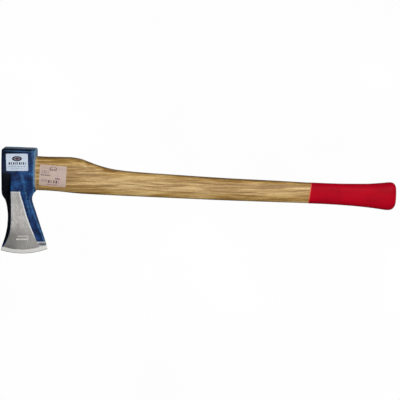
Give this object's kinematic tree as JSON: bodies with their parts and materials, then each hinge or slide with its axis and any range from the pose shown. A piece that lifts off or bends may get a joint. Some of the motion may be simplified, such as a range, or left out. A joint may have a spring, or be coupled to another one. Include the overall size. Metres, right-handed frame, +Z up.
{
  "type": "splitting maul",
  "caption": "Splitting maul: heavy wedge-shaped steel head with a square poll on a bent wooden handle with a dipped grip, lying on its cheek.",
  "frame": {"origin": "on the floor, under the middle of the tool's bounding box, with the maul lying on its cheek", "axes": "+X along the handle from the head to the grip, +Y from the cutting edge towards the poll, +Z up, away from the floor"},
  "size_m": [0.8052, 0.2178, 0.0647],
  "materials": {
    "head_steel": "dark blue paint over forged steel, ground bright on the wedge and at the edge",
    "ash_wood": "oiled ash with long brown grain lines",
    "wedge_wood": "darker hardwood, end grain",
    "ring_steel": "plain bright steel, hammered mouth",
    "grip_red": "glossy red dip",
    "head_label_print": null,
    "handle_label_print": null
  },
  "bodies": {
    "root": {"head": "head_steel", "handle": "ash_wood", "kerf_wedge": "wedge_wood", "ring_wedges": "ring_steel", "grip_coating": "grip_red", "head_label": "head_label_print", "handle_label": "handle_label_print"}
  },
  "joints": []
}
